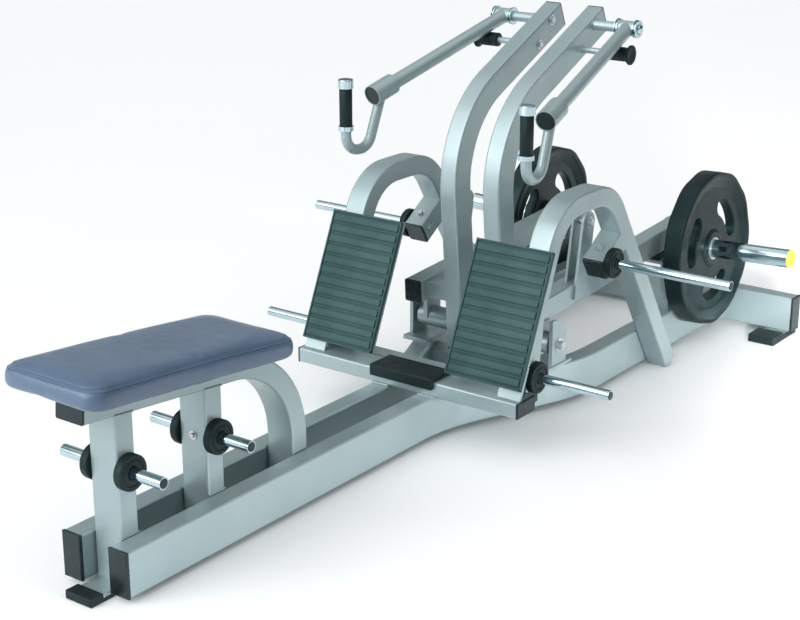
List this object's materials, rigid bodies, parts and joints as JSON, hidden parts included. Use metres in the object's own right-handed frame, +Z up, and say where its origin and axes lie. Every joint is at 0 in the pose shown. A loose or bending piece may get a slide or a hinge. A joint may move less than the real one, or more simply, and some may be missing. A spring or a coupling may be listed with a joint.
{
  "type": "seated row machine",
  "caption": "Plate-loaded seated row gym machine: low bench, fixed foot plates, two curved levers with hinged handles, weight arms with sleeves and plates.",
  "frame": {"origin": "centre of the footprint, on the floor", "axes": "+Z up, +Y from the seat towards the weights, X across the machine"},
  "size_m": [1.267, 2.4107, 0.9583],
  "materials": {
    "frame_paint": "silver-grey metallic powder coat",
    "chrome": "polished chrome",
    "black_rubber": "moulded black rubber",
    "black_plastic": "moulded black plastic",
    "seat_leather": "dark slate-blue vinyl leather",
    "plywood": "black-stained plywood",
    "yellow_plastic": "yellow moulded plastic",
    "zinc_steel": "bright zinc-plated steel",
    "bronze": "sintered bronze"
  },
  "bodies": {
    "frame": {"right_rail": "frame_paint", "left_rail": "frame_paint", "rear_beam": "frame_paint", "rubber_feet": "black_rubber", "seat_tube": "frame_paint", "seat_posts": "frame_paint", "seat_storage_bars": "chrome", "seat_board": "plywood", "seat_pad": "seat_leather", "foot_beam": "frame_paint", "centre_step_pad": "black_rubber", "foot_treads": "black_rubber", "foot_plates": "frame_paint", "right_hoop": "frame_paint", "left_hoop": "frame_paint", "horn_boxes": "frame_paint", "storage_horns": "chrome", "storage_discs": "black_rubber", "storage_bar_plugs": "black_plastic", "cross_tubes": "frame_paint", "pivot_brackets": "frame_paint", "pivot_shaft": "zinc_steel", "arm_stop_buffers": "black_rubber", "support_brackets": "frame_paint", "tube_end_caps": "black_plastic", "frame_bolts": "zinc_steel"},
    "right_lever_arm": {"right_lever": "frame_paint", "right_lever_hub": "frame_paint", "right_hub_bushings": "bronze", "right_weight_arm": "frame_paint", "right_weight_sleeve": "chrome", "right_sleeve_end_cap": "yellow_plastic", "right_lever_plugs": "black_plastic", "right_handle_axle": "frame_paint", "right_axle_collars": "chrome", "right_handle_bumper": "black_rubber", "right_lever_bolts": "zinc_steel"},
    "right_handle": {"right_handle_arm": "frame_paint", "right_handle_hook": "frame_paint", "right_handle_plug": "black_plastic", "right_handle_grip": "black_rubber", "right_grip_rings": "chrome"},
    "right_weight": {"right_weight_plate": "black_rubber"},
    "left_lever_arm": {"left_lever": "frame_paint", "left_lever_hub": "frame_paint", "left_hub_bushings": "bronze", "left_weight_arm": "frame_paint", "left_weight_sleeve": "chrome", "left_sleeve_end_cap": "yellow_plastic", "left_lever_plugs": "black_plastic", "left_handle_axle": "frame_paint", "left_axle_collars": "chrome", "left_handle_bumper": "black_rubber", "left_lever_bolts": "zinc_steel"},
    "left_handle": {"left_handle_arm": "frame_paint", "left_handle_hook": "frame_paint", "left_handle_plug": "black_plastic", "left_handle_grip": "black_rubber", "left_grip_rings": "chrome"},
    "left_weight": {"left_weight_plate": "black_rubber"}
  },
  "joints": [
    {"name": "right_lever_pivot", "type": "hinge", "parent": "frame", "child": "right_lever_arm", "pos_m": [0.105, 0.2816, 0.171], "axis": [1, 0, 0], "range_deg": [0, 40]},
    {"name": "right_handle_hinge", "type": "hinge", "parent": "right_lever_arm", "child": "right_handle", "pos_m": [0.186, 0.6276, 0.918], "axis": [-1, 0, 0], "range_deg": [0, 75]},
    {"name": "right_weight_slide", "type": "slide", "parent": "right_lever_arm", "child": "right_weight", "axis": [0.999, 0, 0.0436], "range_m": [0, 0.21]},
    {"name": "left_lever_pivot", "type": "hinge", "parent": "frame", "child": "left_lever_arm", "pos_m": [-0.105, 0.2816, 0.171], "axis": [1, 0, 0], "range_deg": [0, 40]},
    {"name": "left_handle_hinge", "type": "hinge", "parent": "left_lever_arm", "child": "left_handle", "pos_m": [-0.186, 0.6276, 0.918], "axis": [-1, 0, 0], "range_deg": [0, 75]},
    {"name": "left_weight_slide", "type": "slide", "parent": "left_lever_arm", "child": "left_weight", "axis": [-0.999, 0, 0.0436], "range_m": [0, 0.21]}
  ]
}
